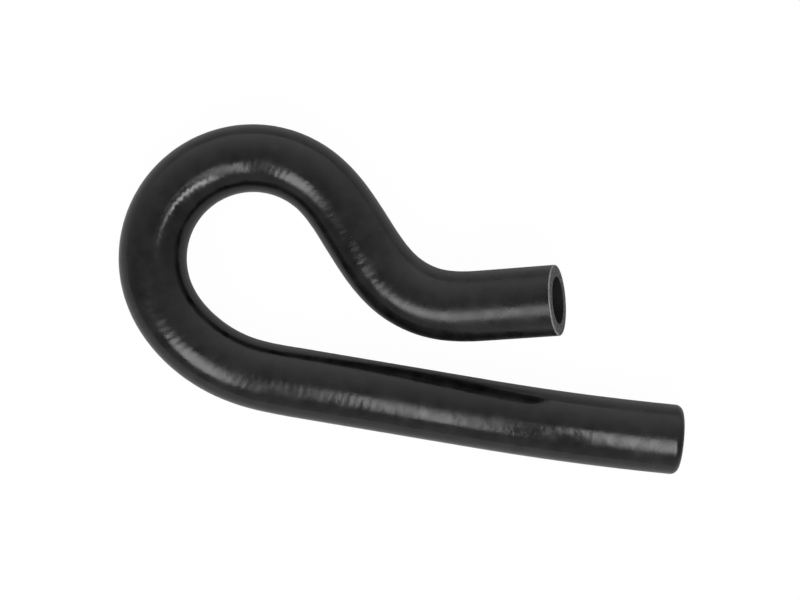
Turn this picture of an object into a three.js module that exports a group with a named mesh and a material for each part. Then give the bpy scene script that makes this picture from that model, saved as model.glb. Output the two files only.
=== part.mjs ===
import * as THREE from "three";

// A heater hose formed to shape: one length of round rubber tube, open at both ends.
// Millimetres, +Z up. It lies on its side, as it rests on a bench, and +X runs along
// the long leg and out of its mouth.

// Section
const boreDiameter = 16;
const wallThickness = 4;

// Long leg, from its mouth: a short straight, a slight bow, then a long straight
const mouthLength = 3;
const legBowRadius = 940;
const legBowAngle = 4;
const longLegLength = 75;

// Hook: an open bend that leads into a tight one, both flat on the bench
const leadInRadius = 52;
const leadInAngle = 43.2;
const hookRadius = 34.5;
const hookAngle = 185;

// Short leg: a flat straight, a bend that turns back and climbs, and the last straight
const shortLegLength = 23.5;
const outletRadius = 32;
const outletAngle = 63.5;
const outletTilt = 20;
const outletLength = 33.5;

// A bend on the forming mandrel has no sharp start: its curvature comes in over this length
const bendEase = 20;

// Share of the cover's half width that is drawn away across the hook, while the bore keeps its size
const coverThinning = 0.028;

// Edges of the cover: the long end is trimmed soft, the short end is a clean cut
const longEndEdge = 2.6;
const shortEndEdge = 0.4;

// Facets
const sides = 36;
const edgeSteps = 4;
const turnPerRing = 6;
const longestRing = 16;
const layStep = 0.5;

const boreRadius = boreDiameter / 2;
const coverRadius = boreRadius + wallThickness;
const heading = new THREE.Vector3(-1, 0, 0);
const across = new THREE.Vector3(0, 1, 0);
const upward = new THREE.Vector3(0, 0, 1);

// The bends in order, each after its own straight. A tilted bend leaves the plane of the bench.
const bendPlan = [
  { straight: mouthLength, radius: legBowRadius, degrees: -legBowAngle, tilt: 0, ease: layStep },
  { straight: longLegLength, radius: leadInRadius, degrees: -leadInAngle, tilt: 0, ease: bendEase },
  { straight: 0, radius: hookRadius, degrees: -hookAngle, tilt: 0, ease: bendEase },
  { straight: shortLegLength, radius: outletRadius, degrees: outletAngle, tilt: outletTilt, ease: bendEase },
];

// Where each bend starts and stops along the hose, and the axis that it turns about
function layBends() {
  let reached = 0;
  return bendPlan.map(({ straight, radius, degrees, tilt, ease }) => {
    const angle = THREE.MathUtils.degToRad(degrees);
    const start = reached + straight;
    const length = radius * Math.abs(angle);
    const axis = upward.clone().applyAxisAngle(heading, THREE.MathUtils.degToRad(tilt));
    reached = start + length;
    return { start, length, angle, axis, flat: tilt === 0, ease: Math.min(ease, length) };
  });
}

const bends = layBends();
const lastBend = bends[bends.length - 1];
const hoseLength = lastBend.start + lastBend.length + outletLength;

// How far a ramp that is centred on 0 and `ease` long has risen at x, from 0 to 1
function ramp(x, ease) {
  return THREE.MathUtils.clamp(x / ease + 0.5, 0, 1);
}

// The area under that ramp up to x
function rampArea(x, ease) {
  const risen = ramp(x, ease);
  return (ease * risen * risen) / 2 + Math.max(x - ease / 2, 0);
}

// The angle that a bend has turned by the distance s along the hose
function turned({ start, length, angle, ease }, s) {
  return (angle * (rampArea(s - start, ease) - rampArea(s - start - length, ease))) / length;
}

// The curvature of a bend at the distance s
function curvature({ start, length, angle, ease }, s) {
  return (Math.abs(angle) * (ramp(s - start, ease) - ramp(s - start - length, ease))) / length;
}

function totalCurvature(s) {
  return bends.reduce((sum, bend) => sum + curvature(bend, s), 0);
}

// The turn from the first heading to the heading at s, bend after bend
function attitude(s) {
  const turn = new THREE.Quaternion();
  for (const bend of bends) {
    turn.multiply(new THREE.Quaternion().setFromAxisAngle(bend.axis, turned(bend, s)));
  }
  return turn;
}

// The centreline as a curve: the heading added up in short steps from the long end
class HoseCentreline extends THREE.Curve {
  constructor() {
    super();
    const count = Math.ceil(hoseLength / layStep);
    this.step = hoseLength / count;
    this.points = [new THREE.Vector3()];
    for (let i = 0; i < count; i += 1) {
      const direction = heading.clone().applyQuaternion(attitude((i + 0.5) * this.step));
      this.points.push(this.points[i].clone().addScaledVector(direction, this.step));
    }
  }

  getPoint(share, target = new THREE.Vector3()) {
    const place = THREE.MathUtils.clamp(share, 0, 1) * (this.points.length - 1);
    const before = Math.min(Math.floor(place), this.points.length - 2);
    return target.lerpVectors(this.points[before], this.points[before + 1], place - before);
  }
}

// Distances along the hose from one value to another, closer together where it bends
function stations(from, to) {
  const turnStep = THREE.MathUtils.degToRad(turnPerRing);
  const list = [];
  let s = from;
  while (s < to) {
    const ahead = Math.max(totalCurvature(s), totalCurvature(s + longestRing / 4));
    s += Math.min(longestRing, turnStep / Math.max(ahead, turnStep / longestRing));
    list.push(s);
  }
  list.pop();
  return list;
}

// Half width of the cover across the bench: a little less where the hose bends flat
function coverHalfWidth(s) {
  const bending = bends.filter((bend) => bend.flat).reduce((sum, bend) => sum + curvature(bend, s), 0);
  return coverRadius * (1 - coverThinning * hookRadius * bending);
}

// A rounded edge at one end of the cover: its inset from the end and its loss of radius
function edgeProfile(radius) {
  return Array.from({ length: edgeSteps + 1 }, (unused, i) => {
    const angle = ((i / edgeSteps) * Math.PI) / 2;
    return { inset: radius * (1 - Math.cos(angle)), loss: radius * (1 - Math.sin(angle)) };
  });
}

// The rings of the closed skin: cover from the long end to the short end, then back down the bore
function ringList() {
  const coverRing = (s, loss) => ({ s, halfWidth: coverHalfWidth(s) - loss, halfHeight: coverRadius - loss });
  const boreRing = (s) => ({ s, halfWidth: boreRadius, halfHeight: boreRadius });
  const longEdge = edgeProfile(longEndEdge).map(({ inset, loss }) => coverRing(inset, loss));
  const shortEdge = edgeProfile(shortEndEdge).map(({ inset, loss }) => coverRing(hoseLength - inset, loss));
  const cover = stations(longEndEdge, hoseLength - shortEndEdge).map((s) => coverRing(s, 0));
  const bore = [0, ...stations(0, hoseLength), hoseLength].map(boreRing);
  return [...longEdge, ...cover, ...shortEdge.reverse(), ...bore.reverse()];
}

// One closed solid: each ring is joined to the next, and the last to the first
function hoseGeometry() {
  const centreline = new HoseCentreline();
  const rings = ringList();
  const positions = [];
  const faces = [];
  rings.forEach(({ s, halfWidth, halfHeight }, ring) => {
    const centre = centreline.getPoint(s / hoseLength);
    const turn = attitude(s);
    const sideways = across.clone().applyQuaternion(turn);
    const over = upward.clone().applyQuaternion(turn);
    const nextRing = (ring + 1) % rings.length;
    for (let side = 0; side < sides; side += 1) {
      const angle = (side / sides) * 2 * Math.PI;
      const corner = centre.clone();
      corner.addScaledVector(sideways, halfWidth * Math.cos(angle));
      corner.addScaledVector(over, halfHeight * Math.sin(angle));
      positions.push(corner.x, corner.y, corner.z);
      const nextSide = (side + 1) % sides;
      const here = ring * sides + side;
      const beside = ring * sides + nextSide;
      const ahead = nextRing * sides + side;
      const opposite = nextRing * sides + nextSide;
      faces.push(here, ahead, opposite, here, opposite, beside);
    }
  });
  const geometry = new THREE.BufferGeometry();
  geometry.setAttribute("position", new THREE.Float32BufferAttribute(positions, 3));
  geometry.setIndex(faces);
  return geometry;
}

// The hose stands on the bench plane, with the middle of its plan over the origin
function placeOnBench(geometry) {
  geometry.computeBoundingBox();
  const { min, max } = geometry.boundingBox;
  geometry.translate(-(min.x + max.x) / 2, -(min.y + max.y) / 2, -min.z);
  geometry.computeVertexNormals();
  return geometry;
}

const rubber = new THREE.MeshStandardMaterial({ color: 0x2a2a2b, roughness: 0.5, metalness: 0 });

const hose = new THREE.Mesh(placeOnBench(hoseGeometry()), rubber);
hose.name = "hose";

const heaterHose = new THREE.Group();
heaterHose.add(hose);

export default heaterHose;
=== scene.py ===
"""A formed rubber heater hose: one closed skin carried along its bends, with the knit showing through the cover."""

import math

import bpy
import numpy as np
from bpy.props import FloatProperty, FloatVectorProperty, IntProperty, PointerProperty
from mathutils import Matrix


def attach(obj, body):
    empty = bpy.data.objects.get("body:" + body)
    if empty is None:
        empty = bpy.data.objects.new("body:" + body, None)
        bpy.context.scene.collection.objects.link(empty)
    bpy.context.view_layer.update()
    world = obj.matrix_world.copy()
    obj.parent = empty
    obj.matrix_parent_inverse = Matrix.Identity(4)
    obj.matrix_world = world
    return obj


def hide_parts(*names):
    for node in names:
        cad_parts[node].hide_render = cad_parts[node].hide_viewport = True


bl_info = {
    "name": "Formed heater hose",
    "version": (1, 0, 0),
    "blender": (4, 5, 0),
    "location": "3D View > Sidebar > Hose",
    "description": "Makes a formed rubber hose from its bends, with its rubber finish and a studio round it",
    "category": "Object",
}

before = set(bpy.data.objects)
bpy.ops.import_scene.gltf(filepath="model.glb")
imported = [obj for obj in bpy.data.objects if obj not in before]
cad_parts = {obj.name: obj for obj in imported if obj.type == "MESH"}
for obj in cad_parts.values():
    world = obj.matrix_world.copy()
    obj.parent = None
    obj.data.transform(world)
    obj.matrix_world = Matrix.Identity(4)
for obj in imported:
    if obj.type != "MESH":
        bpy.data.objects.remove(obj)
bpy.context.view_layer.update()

BODY = "root"
NODE = "hose"
MM = 0.001

# Zones of the skin, in the order of its materials. The rim zone is the short end's rounded edge, painted lighter: a
# painted highlight.
COVER, CUT, BORE, RIM_HIGHLIGHT = range(4)

# Step in which the centreline's heading is added up
CENTRE_STEP = 0.25 * MM

# Even wavinesses of the cover: how many cosines, between which wavelengths, drawn from which seed
KNIT_DRIFT = {"count": 16, "longest": 60 * MM, "shortest": 25 * MM, "seed": 3}
KNIT_PATCHES = {"count": 20, "longest": 40 * MM, "shortest": 16 * MM, "seed": 5}
RIPPLE = {"count": 40, "longest": 9 * MM, "shortest": 3.5 * MM, "seed": 7}

# The least and the most that a patch of the knit shows
PATCH_LIMITS = (0.2, 1.4)

# How strongly the knit shows on the cover, against the share of the way from the long end to the short end
KNIT_SHOWS = ((0.12, 0.12), (0.32, 0.65), (0.43, 1.0), (0.54, 0.45), (0.68, 0.6), (0.86, 0.6), (0.92, 0.12))

# How far handling has dulled the cover, or polished it where negative, against the same share of the way
COVER_DULLED = (
    (0.03, 1.0), (0.08, 0.0), (0.105, -0.8), (0.14, -0.8), (0.17, 0.0),
    (0.75, 0.0), (0.78, -0.7), (0.8, -0.7), (0.82, 0.0), (0.86, 0.0), (0.9, 1.3),
)

# The part of a noise texture's range that nearly all its values lie in
NOISE_RANGE = (0.3, 0.7)

# Half the side of the floor in metres, and the width of the camera's sensor in millimetres
FLOOR_HALF = 4.0
SENSOR_WIDTH = 36.0


# Settings

def place_property(name, description, millimetres, **limits):
    """A place along an axis, given in millimetres."""
    limits["default"] = millimetres * MM
    return FloatProperty(name=name, description=description, subtype="DISTANCE", precision=5, **limits)


def size_property(name, description, millimetres):
    """A length of 0 or more, given in millimetres."""
    return place_property(name, description, millimetres, min=0)


def turn_property(name, description, degrees):
    """An angle, given in degrees."""
    return FloatProperty(name=name, description=description, default=math.radians(degrees), subtype="ANGLE")


def share_property(name, description, share):
    """A share between 0 and 1."""
    return FloatProperty(name=name, description=description, default=share, subtype="FACTOR", min=0, max=1)


def level_property(name, description, level):
    """A plain number, such as a brightness whose unit is a white floor."""
    return FloatProperty(name=name, description=description, default=level)


def count_property(name, description, count):
    """A whole number above 0."""
    return IntProperty(name=name, description=description, default=count, min=1)


def colour_property(name, description, *colour):
    """A colour, given as its red, green and blue."""
    return FloatVectorProperty(name=name, description=description, default=colour, subtype="COLOR", min=0, max=1)


class HoseRoute(bpy.types.PropertyGroup):
    """The driving dimensions of the tube and its bends, from the mouth of the long leg"""

    bore: size_property("Bore", "Inside diameter", 16)
    wall: size_property("Wall", "Thickness of the rubber", 4)
    mouth: size_property("Mouth", "Straight at the mouth of the long leg", 3)
    leg_bow_radius: size_property("Leg bow radius", "Slight bow behind the mouth", 940)
    leg_bow_angle: turn_property("Leg bow angle", "Turn of the slight bow", 4)
    leg_bow_ease: size_property("Leg bow ease", "Length over which the slight bow comes in", 0.5)
    long_leg: size_property("Long leg", "Straight between the bow and the hook", 75)
    lead_in_radius: size_property("Lead-in radius", "Open bend before the hook", 52)
    lead_in_angle: turn_property("Lead-in angle", "Turn of the open bend", 43.2)
    hook_radius: size_property("Hook radius", "Tight bend of the hook", 34.5)
    hook_angle: turn_property("Hook angle", "Turn of the hook", 185)
    short_leg: size_property("Short leg", "Flat straight behind the hook", 23.5)
    outlet_radius: size_property("Outlet radius", "Bend that turns back and climbs", 32)
    outlet_angle: turn_property("Outlet angle", "Turn of the outlet bend", 63.5)
    outlet_tilt: turn_property("Outlet tilt", "How far that bend leans out of the plane", 20)
    outlet: size_property("Outlet", "Straight up to the short end's mouth", 33.5)
    bend_ease: size_property("Bend ease", "Length over which the curvature of a bend comes in", 20)
    cover_thinning: share_property("Cover thinning", "Share of the half width lost across the hook", 0.028)
    long_edge: size_property("Long end's edge", "Radius of the soft trimmed edge", 2.6)
    short_edge: size_property("Short end's edge", "Radius of the clean cut edge", 0.4)


class CoverRelief(bpy.types.PropertyGroup):
    """How fine the skin is, and how the knit inside the wall shows on the cover"""

    sides: count_property("Sides", "Faces round the hose", 80)
    ring_step: size_property("Ring step", "Distance between rings of the cover", 0.4)
    bore_step: size_property("Bore step", "Distance between rings of the bore", 3)
    long_edge_rings: count_property("Long edge rings", "Rings over the edge of the long end", 10)
    short_edge_rings: count_property("Short edge rings", "Rings over the edge of the short end", 5)
    knit_pitch: size_property("Knit pitch", "Distance between rows of the knit", 2.5)
    knit_depth: size_property("Knit depth", "Height of a row on the cover", 0.022)
    knit_starts: count_property("Knit starts", "Threads of the knit side by side, which slant its rows", 6)
    knit_drift: level_property("Knit drift", "Spread of the rows' wandering, in radians of their phase", 0.6)
    knit_shown: level_property("Knit shown", "Mean strength of the knit's patches", 0.85)
    knit_spread: level_property("Knit spread", "Spread of that strength", 0.3)
    ripple_depth: size_property("Ripple depth", "Height of the cover's waviness, four times its spread", 0.025)


class RubberFinish(bpy.types.PropertyGroup):
    """Colours and gloss of the rubber"""

    cover_colour: colour_property("Cover", "Colour of the outside", 0.008, 0.008, 0.0084)
    cut_colour: colour_property("Cut end", "Colour of a cut end", 0.12, 0.12, 0.118)
    # The rim's lighter colour is a painted highlight: it stands in for the light that the short end's rounded edge
    # catches.
    rim_highlight_colour: colour_property("Rim", "Colour of the short end's rim with painted highlight", 0.27, 0.27, 0.265)
    bore_colour: colour_property("Bore", "Colour of the inside", 0.017, 0.017, 0.017)
    cover_smooth: share_property("Cover smooth", "Roughness of the outside where it is smoothest", 0.13)
    cover_rough: share_property("Cover rough", "Roughness of the outside where it is roughest", 0.24)
    dulling: share_property("Dulling", "Gain in roughness where the outside is dulled", 0.08)


def lamp_settings(name, right, up, height, length, width, turn, radiance, taper):
    """The properties of one soft lamp, given in millimetres and degrees."""
    properties = {
        "right": place_property("Right", "Place to the right in the picture, from the camera's foot", right),
        "up": place_property("Up", "Place upward in the picture, from the camera's foot", up),
        "height": size_property("Height", "Height above the middle of the tube", height),
        "length": size_property("Length", "Size along its own turned axis", length),
        "width": size_property("Width", "Size across that axis", width),
        "turn": turn_property("Turn", "Turn of that axis from the picture's right", turn),
        "radiance": level_property("Radiance", "Brightness of its middle, where the floor's white is 1", radiance),
        "taper": share_property("Taper", "Share of the width that is lost toward the far end of that axis", taper),
    }
    return type(name, (bpy.types.PropertyGroup,), {"__doc__": "A soft lamp", "__annotations__": properties})


LeftLamp = lamp_settings(
    "LeftLamp", right=-465, up=-505, height=630, length=1020, width=420, turn=54, radiance=5.2, taper=0.77,
)
MiddleLamp = lamp_settings(
    "MiddleLamp", right=-48, up=-460, height=650, length=900, width=80, turn=86, radiance=7.2, taper=0,
)
RightLamp = lamp_settings(
    "RightLamp", right=198, up=-425, height=670, length=830, width=140, turn=96, radiance=11.2, taper=0.1,
)


class Studio(bpy.types.PropertyGroup):
    """Floor, room, lamps and camera"""

    floor_colour: colour_property("Floor", "Colour of the floor", 0.56, 0.56, 0.56)
    floor_roughness: share_property("Floor roughness", "Roughness of the floor", 0.9)
    floor_white: level_property("Floor white", "Brightness of the plain white that the camera sees", 1.03)
    floor_white_share: share_property("Floor white share", "Share of that white in what the camera sees", 0.95)
    camera_foot_x: place_property("Camera foot X", "Point of the floor under the camera, along X", -1.33)
    camera_foot_y: place_property("Camera foot Y", "Point of the floor under the camera, along Y", -2.46)
    camera_height: size_property("Camera height", "Above the middle of the tube", 654.55)
    camera_turn: turn_property("Camera turn", "Turn of the picture on the floor", 5.59)
    lens: FloatProperty(name="Lens", description="Focal length", default=85.5, subtype="DISTANCE_CAMERA", min=1)
    room_overhead: level_property("Room overhead", "Brightness of the room overhead", 0.31)
    room_rise: level_property("Room rise", "Gain in brightness toward the picture's top", 0.26)
    room_ends: level_property("Room ends", "Gain toward its top and its bottom alike", 0.38)
    left_lamp: PointerProperty(name="Left lamp", description="Lamp over the left", type=LeftLamp)
    middle_lamp: PointerProperty(name="Middle lamp", description="Lamp over the middle", type=MiddleLamp)
    right_lamp: PointerProperty(name="Right lamp", description="Lamp over the right", type=RightLamp)


# The route: bends laid end to end

def outside_radius(route):
    """Half the outside diameter: half the bore and the wall."""
    return route.bore / 2 + route.wall


def turn_about(vectors, axis, angles):
    """Vectors turned about one axis: v cos a + (axis x v) sin a + axis (axis . v) (1 - cos a), angle by angle."""
    cosine = np.cos(angles)[:, None]
    sine = np.sin(angles)[:, None]
    along = (vectors @ axis)[:, None] * axis
    return vectors * cosine + np.cross(axis, vectors) * sine + along * (1 - cosine)


def lay_bends(route):
    """Each bend as (start, length, angle, axis, ease, flat), and the length of the hose: a bend starts after its
    straight, its length is its radius times its angle, and its axis is straight up, or leans over the heading."""
    flat = np.array([0.0, 0.0, 1.0])
    leaning = turn_about(flat[None], np.array([-1.0, 0.0, 0.0]), np.array([route.outlet_tilt]))[0]
    plan = [
        (route.mouth, route.leg_bow_radius, -route.leg_bow_angle, flat, route.leg_bow_ease),
        (route.long_leg, route.lead_in_radius, -route.lead_in_angle, flat, route.bend_ease),
        (0.0, route.hook_radius, -route.hook_angle, flat, route.bend_ease),
        (route.short_leg, route.outlet_radius, route.outlet_angle, leaning, route.bend_ease),
    ]
    bends = []
    reached = 0.0
    for straight, radius, angle, axis, ease in plan:
        if radius <= outside_radius(route):
            raise ValueError("a bend is tighter than the hose is thick")
        start = reached + straight
        length = radius * abs(angle)
        bends.append((start, length, angle, axis, min(ease, length), axis is flat))
        reached = start + length
    return bends, reached + route.outlet


def ramp(x, ease):
    """A ramp from 0 to 1 that is centred on 0 and as long as the ease."""
    return np.clip(x / ease + 0.5, 0, 1)


def ramp_area(x, ease):
    """The area under that ramp up to x: half the ease times the ramp squared, then a straight line."""
    return ease * ramp(x, ease) ** 2 / 2 + np.maximum(x - ease / 2, 0)


def attitude(bends, s):
    """The directions along, across and up at the distances s: the first ones, turned by each bend's share of its
    angle, the last bend first, because each axis stands in the frame that its bend starts in."""
    along = np.tile([-1.0, 0.0, 0.0], (len(s), 1))
    across = np.tile([0.0, 1.0, 0.0], (len(s), 1))
    for start, length, angle, axis, ease, _ in reversed(bends):
        turned = angle * (ramp_area(s - start, ease) - ramp_area(s - start - length, ease)) / length
        along = turn_about(along, axis, turned)
        across = turn_about(across, axis, turned)
    return along, across, np.cross(across, along)


def flat_curvature(bends, s):
    """The curvature of the bends that lie flat: angle over length, ramped in and out."""
    total = np.zeros_like(s)
    for start, length, angle, _, ease, flat in bends:
        if flat:
            total += abs(angle) / length * (ramp(s - start, ease) - ramp(s - start - length, ease))
    return total


def centreline(bends, length, s):
    """Points of the centreline: the heading halfway along each short step, added up, read off at the distances s."""
    count = math.ceil(length / CENTRE_STEP)
    step = length / count
    along, _, _ = attitude(bends, (np.arange(count) + 0.5) * step)
    points = np.vstack([np.zeros(3), np.cumsum(along * step, axis=0)])
    reached = np.arange(count + 1) * step
    return np.stack([np.interp(s, reached, points[:, i]) for i in range(3)], axis=1)


# The skin: rings from the long end over the cover to the short end, and back down the bore

def edge_rings(radius, count):
    """A quarter round as (inset from the end, loss of radius): r (1 - cos a) and r (1 - sin a) for a from 0 to 90."""
    angle = np.linspace(0, math.pi / 2, count)
    return radius * (1 - np.cos(angle)), radius * (1 - np.sin(angle))


def skin_rings(route, relief, bends, length):
    """Rings as arrays: distance, half width, half height, share of relief, and the zone of the strip that starts at
    each. The relief fades in over two rows of the knit from each end."""
    bore = route.bore / 2
    outside = outside_radius(route)
    long_in, long_loss = edge_rings(route.long_edge, relief.long_edge_rings)
    short_in, short_loss = edge_rings(route.short_edge, relief.short_edge_rings)
    run = length - route.long_edge - route.short_edge
    cover = route.long_edge + run * np.linspace(0, 1, round(run / relief.ring_step))[1:-1]
    inside = np.linspace(length, 0, round(length / relief.bore_step))
    s = np.concatenate([long_in, cover, (length - short_in)[::-1], inside])
    loss = np.concatenate([long_loss, np.zeros(len(cover)), short_loss[::-1], np.zeros(len(inside))])
    # The short end's edge rings take the rim material, whose lighter colour is a painted highlight.
    zone = np.repeat(
        [COVER, RIM_HIGHLIGHT, CUT, BORE, CUT],
        [len(long_in) + len(cover), len(short_in) - 1, 1, len(inside) - 1, 1],
    )
    is_bore = np.arange(len(s)) >= len(s) - len(inside)
    thinned = 1 - route.cover_thinning * route.hook_radius * flat_curvature(bends, s)
    half_width = np.where(is_bore, bore, outside * thinned - loss)
    half_height = np.where(is_bore, bore, outside - loss)
    from_edge = np.minimum(s - route.long_edge, length - route.short_edge - s)
    fade = np.where(is_bore, 0, np.clip(from_edge / (2 * relief.knit_pitch), 0, 1))
    return s, half_width, half_height, fade, zone


def soft_waves(s, angle, radius, count, longest, shortest, seed):
    """Even waviness: the sum of many cosines over distance and angle, each with its own random wavelength, whole
    number of turns round the hose, slant and phase, scaled to a spread of 1."""
    draw = np.random.default_rng(seed)
    total = np.zeros((len(s), len(angle)))
    for _ in range(count):
        wavelength = draw.uniform(shortest, longest)
        slant = draw.uniform(0, math.pi)
        turns = round(2 * math.pi * radius / wavelength * math.cos(slant))
        phase = draw.uniform(0, 2 * math.pi)
        total += np.cos(2 * math.pi * math.sin(slant) / wavelength * s[:, None] + turns * angle[None] + phase)
    return total / total.std()


def cover_height(relief, radius, s, angle):
    """Height of the cover over its plain round: rows of the knit as a cosine of the distance, slanted by its starts
    and wandering a little, times a patchy strength and how far the knit shows there, plus a soft waviness."""
    slant = relief.knit_starts * angle[None] - relief.knit_drift * soft_waves(s, angle, radius, **KNIT_DRIFT)
    rows = np.cos(2 * math.pi * s[:, None] / relief.knit_pitch - slant)
    patches = relief.knit_shown + relief.knit_spread * soft_waves(s, angle, radius, **KNIT_PATCHES)
    shown = np.interp(s / s.max(), *np.transpose(KNIT_SHOWS))
    knit = relief.knit_depth / 2 * np.clip(patches, *PATCH_LIMITS) * shown[:, None] * rows
    return knit + relief.ripple_depth / 4 * soft_waves(s, angle, radius, **RIPPLE)


def hose_skin(route, relief):
    """Points of the skin on a grid of rings and sides: centre + (half width + height) cos a across
    + (half height + height) sin a up, moved so that the hose lies on the floor round the origin. With them come
    each ring's zone and how far it is dulled."""
    bends, length = lay_bends(route)
    s, half_width, half_height, fade, zone = skin_rings(route, relief, bends, length)
    angle = np.arange(relief.sides) / relief.sides * 2 * math.pi
    _, across, upward = attitude(bends, s)
    centre = centreline(bends, length, s)

    def carried(height):
        sideways = ((half_width[:, None] + height) * np.cos(angle))[..., None] * across[:, None]
        over = ((half_height[:, None] + height) * np.sin(angle))[..., None] * upward[:, None]
        return centre[:, None] + sideways + over

    plain = carried(np.zeros((len(s), relief.sides)))
    low = plain.min(axis=(0, 1))
    high = plain.max(axis=(0, 1))
    place = np.array([-(low[0] + high[0]) / 2, -(low[1] + high[1]) / 2, -low[2]])
    height = cover_height(relief, outside_radius(route), s, angle) * fade[:, None]
    dulled = np.interp(s / length, *np.transpose(COVER_DULLED))
    return carried(height) + place, zone, dulled


def grid_faces(rings, sides):
    """Quads between each ring and the next, and each side and the next, both closing on themselves."""
    ring, side = np.meshgrid(np.arange(rings), np.arange(sides), indexing="ij")
    next_ring = (ring + 1) % rings
    next_side = (side + 1) % sides
    corners = [ring * sides + side, next_ring * sides + side, next_ring * sides + next_side, ring * sides + next_side]
    return np.stack(corners, axis=-1).reshape(-1, 4)


def mesh_from_grid(name, points, zone, dulled, sharp_rings):
    """A mesh of one closed grid, with each zone's material, an attribute that says how far each ring is dulled, and
    sharp edges along the named rings."""
    rings, sides, _ = points.shape
    faces = grid_faces(rings, sides)
    mesh = bpy.data.meshes.new(name)
    mesh.vertices.add(rings * sides)
    mesh.vertices.foreach_set("co", points.reshape(-1).astype(np.float32))
    mesh.loops.add(faces.size)
    mesh.loops.foreach_set("vertex_index", faces.reshape(-1).astype(np.int32))
    mesh.polygons.add(len(faces))
    mesh.polygons.foreach_set("loop_start", np.arange(0, faces.size, 4, dtype=np.int32))
    mesh.polygons.foreach_set("material_index", np.repeat(zone, sides).astype(np.int32))
    mesh.update(calc_edges=True)
    mesh.shade_smooth()
    ends = np.empty(len(mesh.edges) * 2, dtype=np.int32)
    mesh.edges.foreach_get("vertices", ends)
    ring_of = ends.reshape(-1, 2) // sides
    sharp = (ring_of[:, 0] == ring_of[:, 1]) & np.isin(ring_of[:, 0], sharp_rings)
    mesh.attributes.new("sharp_edge", "BOOLEAN", "EDGE").data.foreach_set("value", sharp)
    share = np.repeat(dulled, sides).astype(np.float32)
    mesh.attributes.new("dulled", "FLOAT", "POINT").data.foreach_set("value", share)
    if mesh.validate():
        raise RuntimeError("the grid of the hose held faces that had to be mended")
    return mesh


# Materials

def add_node(tree, kind, place, **values):
    """A node of that kind with its settings, at a place in the editor."""
    node = tree.nodes.new(kind)
    node.location = place
    for name, value in values.items():
        setattr(node, name, value)
    return node


def calculate(tree, place, operation, *values, use_clamp=False):
    """One sum, fed with sockets and plain numbers in the order of its inputs. It returns the socket of the result."""
    node = add_node(tree, "ShaderNodeMath", place, operation=operation, use_clamp=use_clamp)
    for socket, value in zip(node.inputs, values):
        if isinstance(value, bpy.types.NodeSocket):
            tree.links.new(value, socket)
        else:
            socket.default_value = value
    return node.outputs["Value"]


def reach_along(tree, place, vector, direction):
    """How far the vector reaches along a fixed direction: their dot product."""
    node = add_node(tree, "ShaderNodeVectorMath", place, operation="DOT_PRODUCT")
    tree.links.new(vector, node.inputs[0])
    node.inputs[1].default_value = direction
    return node.outputs["Value"]


def rubber_grain_group():
    """Shared effect: the cloudiness of rubber. It puts out a shade of the colour, a roughness and a fine height."""
    group = bpy.data.node_groups.new("rubber grain", "ShaderNodeTree")
    defaults = {"Cloud Size": 8 * MM, "Grain Size": 0.6 * MM, "Dark": 0.8, "Light": 1.2, "Smooth": 0.3, "Rough": 0.45}
    group.interface.new_socket("Colour", in_out="INPUT", socket_type="NodeSocketColor")
    for name, value in defaults.items():
        socket = group.interface.new_socket(name, in_out="INPUT", socket_type="NodeSocketFloat")
        socket.default_value = value
    group.interface.new_socket("Colour", in_out="OUTPUT", socket_type="NodeSocketColor")
    group.interface.new_socket("Roughness", in_out="OUTPUT", socket_type="NodeSocketFloat")
    group.interface.new_socket("Height", in_out="OUTPUT", socket_type="NodeSocketFloat")
    given = add_node(group, "NodeGroupInput", (-900, 0)).outputs
    result = add_node(group, "NodeGroupOutput", (500, 0)).inputs
    where = add_node(group, "ShaderNodeTexCoord", (-900, 300)).outputs["Object"]

    def noise(size, detail, y):
        texture = add_node(group, "ShaderNodeTexNoise", (-450, y))
        texture.inputs["Detail"].default_value = detail
        group.links.new(where, texture.inputs["Vector"])
        group.links.new(calculate(group, (-650, y), "DIVIDE", 1.0, given[size]), texture.inputs["Scale"])
        return texture.outputs["Fac"]

    def spread(share, low, high, y):
        mapped = add_node(group, "ShaderNodeMapRange", (-150, y))
        mapped.inputs["From Min"].default_value, mapped.inputs["From Max"].default_value = NOISE_RANGE
        group.links.new(share, mapped.inputs["Value"])
        group.links.new(given[low], mapped.inputs["To Min"])
        group.links.new(given[high], mapped.inputs["To Max"])
        return mapped.outputs["Result"]

    cloud = noise("Cloud Size", detail=3.0, y=200)
    shaded = add_node(group, "ShaderNodeVectorMath", (150, 200), operation="SCALE")
    group.links.new(given["Colour"], shaded.inputs[0])
    group.links.new(spread(cloud, "Dark", "Light", y=300), shaded.inputs["Scale"])
    group.links.new(shaded.outputs["Vector"], result["Colour"])
    group.links.new(spread(cloud, "Smooth", "Rough", y=0), result["Roughness"])
    group.links.new(noise("Grain Size", detail=2.0, y=-200), result["Height"])
    return group


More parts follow.
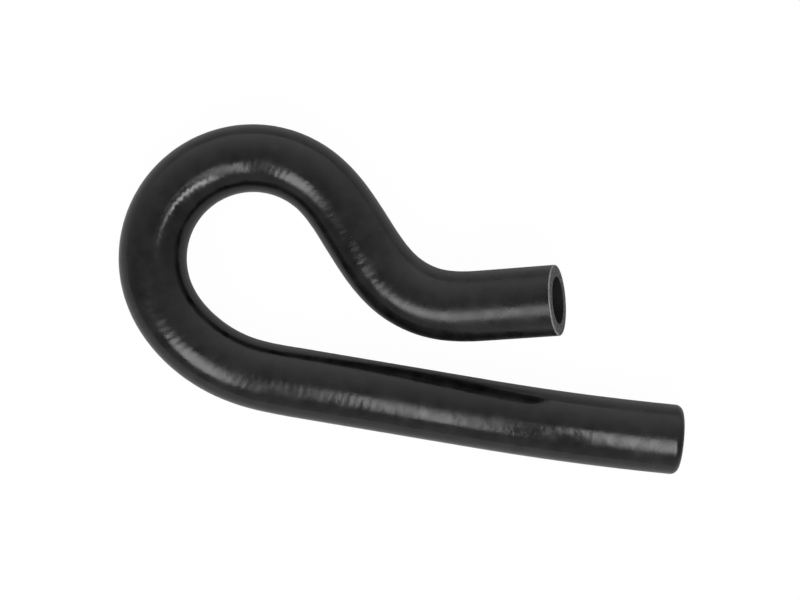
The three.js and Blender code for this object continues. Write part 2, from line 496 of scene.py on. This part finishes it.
def rubber_material(name, group, colour, grain, bump_distance, specular, dulling=0.0):
    """Rubber with the shared grain: the grain's shade, roughness and height feed one plain shader. Where the mesh
    says that it is dulled, the dulling adds to the roughness."""
    material = bpy.data.materials.new(name)
    material.use_nodes = True
    tree = material.node_tree
    tree.nodes.clear()
    grained = add_node(tree, "ShaderNodeGroup", (-500, 0), node_tree=group)
    grained.inputs["Colour"].default_value = (*colour, 1.0)
    for key, value in grain.items():
        grained.inputs[key].default_value = value
    roughness = grained.outputs["Roughness"]
    if dulling:
        dulled = add_node(tree, "ShaderNodeAttribute", (-500, 250), attribute_name="dulled").outputs["Fac"]
        roughness = calculate(tree, (-200, 150), "MULTIPLY_ADD", dulled, dulling, roughness)
    bump = add_node(tree, "ShaderNodeBump", (-200, -200))
    bump.inputs["Distance"].default_value = bump_distance
    shader = add_node(tree, "ShaderNodeBsdfPrincipled", (50, 0))
    shader.inputs["Specular IOR Level"].default_value = specular
    output = add_node(tree, "ShaderNodeOutputMaterial", (350, 0))
    tree.links.new(grained.outputs["Colour"], shader.inputs["Base Color"])
    tree.links.new(roughness, shader.inputs["Roughness"])
    tree.links.new(grained.outputs["Height"], bump.inputs["Height"])
    tree.links.new(bump.outputs["Normal"], shader.inputs["Normal"])
    tree.links.new(shader.outputs["BSDF"], output.inputs["Surface"])
    return material


def hose_materials(finish):
    """The finishes of the hose in the order of its zones: its cover, its cut ends, its bore and its rubbed rim."""
    group = rubber_grain_group()
    cover_grain = {
        "Cloud Size": 5.5 * MM, "Grain Size": 0.9 * MM, "Dark": 0.45, "Light": 1.6,
        "Smooth": finish.cover_smooth, "Rough": finish.cover_rough,
    }
    cut_grain = {
        "Cloud Size": 1.1 * MM, "Grain Size": 0.4 * MM, "Dark": 0.3, "Light": 1.7, "Smooth": 0.75, "Rough": 0.95,
    }
    bore_grain = {
        "Cloud Size": 6 * MM, "Grain Size": 0.5 * MM, "Dark": 0.8, "Light": 1.2, "Smooth": 0.6, "Rough": 0.75,
    }
    # Grain of the rim, whose lighter colour is a painted highlight of the light caught by the short end's rounded
    # edge.
    rim_highlight_grain = {
        "Cloud Size": 1.1 * MM, "Grain Size": 0.4 * MM, "Dark": 0.6, "Light": 1.4, "Smooth": 0.6, "Rough": 0.8,
    }
    return [
        rubber_material(
            "cover rubber", group, finish.cover_colour, cover_grain,
            bump_distance=0.03 * MM, specular=0.5, dulling=finish.dulling,
        ),
        rubber_material("cut rubber", group, finish.cut_colour, cut_grain, bump_distance=0.2 * MM, specular=0.3),
        rubber_material("bore rubber", group, finish.bore_colour, bore_grain, bump_distance=0.03 * MM, specular=0.2),
        rubber_material("rim with painted highlight", group, finish.rim_highlight_colour, rim_highlight_grain, bump_distance=0.1 * MM, specular=0.3),
    ]


def floor_material(studio):
    """White floor: the camera sees mostly plain white, with a share of the lit floor for the hose's shadow."""
    material = bpy.data.materials.new("studio floor")
    material.use_nodes = True
    tree = material.node_tree
    tree.nodes.clear()
    lit = add_node(tree, "ShaderNodeBsdfPrincipled", (0, 200))
    lit.inputs["Base Color"].default_value = (*studio.floor_colour, 1.0)
    lit.inputs["Roughness"].default_value = studio.floor_roughness
    white = add_node(tree, "ShaderNodeEmission", (0, -300))
    white.inputs["Strength"].default_value = studio.floor_white
    seen = add_node(tree, "ShaderNodeLightPath", (-500, 0)).outputs["Is Camera Ray"]
    mix = add_node(tree, "ShaderNodeMixShader", (300, 0))
    output = add_node(tree, "ShaderNodeOutputMaterial", (500, 0))
    tree.links.new(calculate(tree, (-200, 0), "MULTIPLY", seen, studio.floor_white_share), mix.inputs["Fac"])
    tree.links.new(lit.outputs["BSDF"], mix.inputs[1])
    tree.links.new(white.outputs["Emission"], mix.inputs[2])
    tree.links.new(mix.outputs["Shader"], output.inputs["Surface"])
    return material


# Studio

def floor_mesh(half):
    """A square floor as one face, in the plane that the hose lies on."""
    mesh = bpy.data.meshes.new("floor")
    mesh.from_pydata([(-half, -half, 0), (half, -half, 0), (half, half, 0), (-half, half, 0)], [], [(0, 1, 2, 3)])
    return mesh


def floor_direction(angle):
    """The direction on the floor at that angle from the +X axis."""
    return np.array([math.cos(angle), math.sin(angle), 0])


def picture_axes(studio):
    """Directions on the floor that run right and up in the picture."""
    return floor_direction(studio.camera_turn), floor_direction(studio.camera_turn + math.pi / 2)


def lamp_fall_off(tree, place, along, across, taper):
    """Share of a lamp's radiance at a point of its face: 1 - (u^2 + v^2)^2, where u is the point's way along in half
    lengths, and v is its way across in half widths, over 1 - taper u."""
    where = add_node(tree, "ShaderNodeNewGeometry", (-1100, 0)).outputs["Position"]
    u = reach_along(tree, (-900, 150), where, along)
    u = calculate(tree, (-700, 150), "SUBTRACT", u, float(place @ along))
    v = reach_along(tree, (-900, -150), where, across)
    v = calculate(tree, (-700, -150), "SUBTRACT", v, float(place @ across))
    v = calculate(tree, (-350, -150), "DIVIDE", v, calculate(tree, (-500, 0), "MULTIPLY_ADD", u, -taper, 1.0))
    squared = calculate(tree, (-200, 0), "MULTIPLY_ADD", v, v, calculate(tree, (-350, 150), "MULTIPLY", u, u))
    fourth = calculate(tree, (-50, 0), "MULTIPLY", squared, squared)
    return calculate(tree, (100, 0), "SUBTRACT", 1.0, fourth, use_clamp=True)


def soft_lamp(name, settings, studio, middle):
    """A soft lamp that faces straight down, wide enough for the wide end of its taper. Its power is pi times its area
    times its radiance, which falls off from its middle."""
    right, up = picture_axes(studio)
    turn = studio.camera_turn + settings.turn
    place = middle + right * settings.right + up * settings.up + np.array([0, 0, settings.height])
    along = floor_direction(turn) * 2 / settings.length
    across = floor_direction(turn + math.pi / 2) * 2 / settings.width
    lamp = bpy.data.lights.new(name, "AREA")
    lamp.shape = "RECTANGLE"
    lamp.size = settings.length
    lamp.size_y = settings.width * (1 + settings.taper / 2)
    lamp.energy = math.pi * lamp.size * lamp.size_y * settings.radiance
    lamp.use_nodes = True
    tree = lamp.node_tree
    tree.nodes.clear()
    glow = add_node(tree, "ShaderNodeEmission", (250, 0))
    output = add_node(tree, "ShaderNodeOutputLight", (400, 0))
    tree.links.new(lamp_fall_off(tree, place, along, across, settings.taper), glow.inputs["Strength"])
    tree.links.new(glow.outputs["Emission"], output.inputs["Surface"])
    holder = bpy.data.objects.new(name, lamp)
    holder.location = place
    holder.rotation_euler[2] = turn
    return holder


def studio_world(studio):
    """The room: plain white to the camera, and for all other rays overhead + y (rise + ends y), where y is the share
    of the ray's direction along the picture's up."""
    _, up = picture_axes(studio)
    world = bpy.data.worlds.new("studio")
    world.use_nodes = True
    tree = world.node_tree
    tree.nodes.clear()
    direction = add_node(tree, "ShaderNodeTexCoord", (-900, 0)).outputs["Generated"]
    y = reach_along(tree, (-650, 0), direction, up)
    slope = calculate(tree, (-450, 150), "MULTIPLY_ADD", y, studio.room_ends, studio.room_rise)
    level = calculate(tree, (-300, 0), "MULTIPLY_ADD", y, slope, studio.room_overhead, use_clamp=True)
    room = add_node(tree, "ShaderNodeBackground", (-150, 100))
    room.inputs["Color"].default_value = (1, 1, 1, 1)
    white = add_node(tree, "ShaderNodeBackground", (-150, -100))
    white.inputs["Color"].default_value = (1, 1, 1, 1)
    seen = add_node(tree, "ShaderNodeLightPath", (-150, 400)).outputs["Is Camera Ray"]
    mix = add_node(tree, "ShaderNodeMixShader", (100, 0))
    output = add_node(tree, "ShaderNodeOutputWorld", (300, 0))
    tree.links.new(level, room.inputs["Strength"])
    tree.links.new(seen, mix.inputs["Fac"])
    tree.links.new(room.outputs["Background"], mix.inputs[1])
    tree.links.new(white.outputs["Background"], mix.inputs[2])
    tree.links.new(mix.outputs["Shader"], output.inputs["Surface"])
    return world


def studio_camera(studio, middle):
    """A camera that looks straight down on the middle, turned with the picture."""
    camera = bpy.data.objects.new("camera", bpy.data.cameras.new("camera"))
    camera.data.lens = studio.lens
    camera.data.sensor_width = SENSOR_WIDTH
    camera.location = middle + np.array([0, 0, studio.camera_height])
    camera.rotation_euler = (0, 0, studio.camera_turn)
    return camera


# Operators and panel

class HOSE_OT_form_hose(bpy.types.Operator):
    """Form the hose with its relief and its rubber"""

    bl_idname = "hose.form_hose"
    bl_label = "Form hose"

    def execute(self, context):
        scene = context.scene
        points, zone, dulled = hose_skin(scene.hose_route, scene.hose_relief)
        first_bore_ring = int(np.argmax(zone == BORE))
        last_ring = len(points) - 1
        mesh = mesh_from_grid("hose_skin", points, zone, dulled, [first_bore_ring, last_ring])
        for material in hose_materials(scene.hose_finish):
            mesh.materials.append(material)
        hose = bpy.data.objects.new("hose_skin", mesh)
        scene.collection.objects.link(hose)
        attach(hose, BODY)
        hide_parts(NODE)
        return {"FINISHED"}


class HOSE_OT_set_studio(bpy.types.Operator):
    """Set the floor, the lamps, the room and the camera"""

    bl_idname = "hose.set_studio"
    bl_label = "Set studio"

    def execute(self, context):
        scene = context.scene
        studio = scene.hose_studio
        middle = np.array([studio.camera_foot_x, studio.camera_foot_y, outside_radius(scene.hose_route)])

        floor = bpy.data.objects.new("floor", floor_mesh(FLOOR_HALF))
        floor.data.materials.append(floor_material(studio))
        scene.collection.objects.link(floor)

        for name in ("left_lamp", "middle_lamp", "right_lamp"):
            settings = getattr(studio, name)
            if min(settings.length, settings.width) <= 0:
                raise ValueError(f"the {name} has no size")
            scene.collection.objects.link(soft_lamp(name, settings, studio, middle))
        scene.world = studio_world(studio)
        scene.view_settings.view_transform = "Standard"

        camera = studio_camera(studio, middle)
        scene.collection.objects.link(camera)
        scene.camera = camera
        return {"FINISHED"}


class HOSE_PT_panel(bpy.types.Panel):
    """Sizes, colours and steps of the hose"""

    bl_idname = "HOSE_PT_panel"
    bl_label = "Heater hose"
    bl_space_type = "VIEW_3D"
    bl_region_type = "UI"
    bl_category = "Hose"

    def draw(self, context):
        scene = context.scene
        studio = scene.hose_studio
        lamps = (studio.left_lamp, studio.middle_lamp, studio.right_lamp)
        for group in (scene.hose_route, scene.hose_relief, scene.hose_finish, studio, *lamps):
            column = self.layout.column(align=True)
            column.label(text=group.bl_rna.name)
            for setting in group.bl_rna.properties:
                if setting.type in {"FLOAT", "INT"}:
                    column.prop(group, setting.identifier)
        self.layout.operator(HOSE_OT_form_hose.bl_idname)
        self.layout.operator(HOSE_OT_set_studio.bl_idname)


CLASSES = (
    HoseRoute, CoverRelief, RubberFinish, LeftLamp, MiddleLamp, RightLamp, Studio,
    HOSE_OT_form_hose, HOSE_OT_set_studio, HOSE_PT_panel,
)
SETTINGS = {"hose_route": HoseRoute, "hose_relief": CoverRelief, "hose_finish": RubberFinish, "hose_studio": Studio}


def register():
    for each in CLASSES:
        bpy.utils.register_class(each)
    for name, group in SETTINGS.items():
        setattr(bpy.types.Scene, name, PointerProperty(type=group))


def unregister():
    for name in SETTINGS:
        delattr(bpy.types.Scene, name)
    for each in reversed(CLASSES):
        bpy.utils.unregister_class(each)


def main():
    """Register the add-on, form the hose, set its studio, and write the box of each model."""
    register()
    bpy.ops.hose.form_hose()
    bpy.ops.hose.set_studio()


if __name__ == "__main__":
    main()
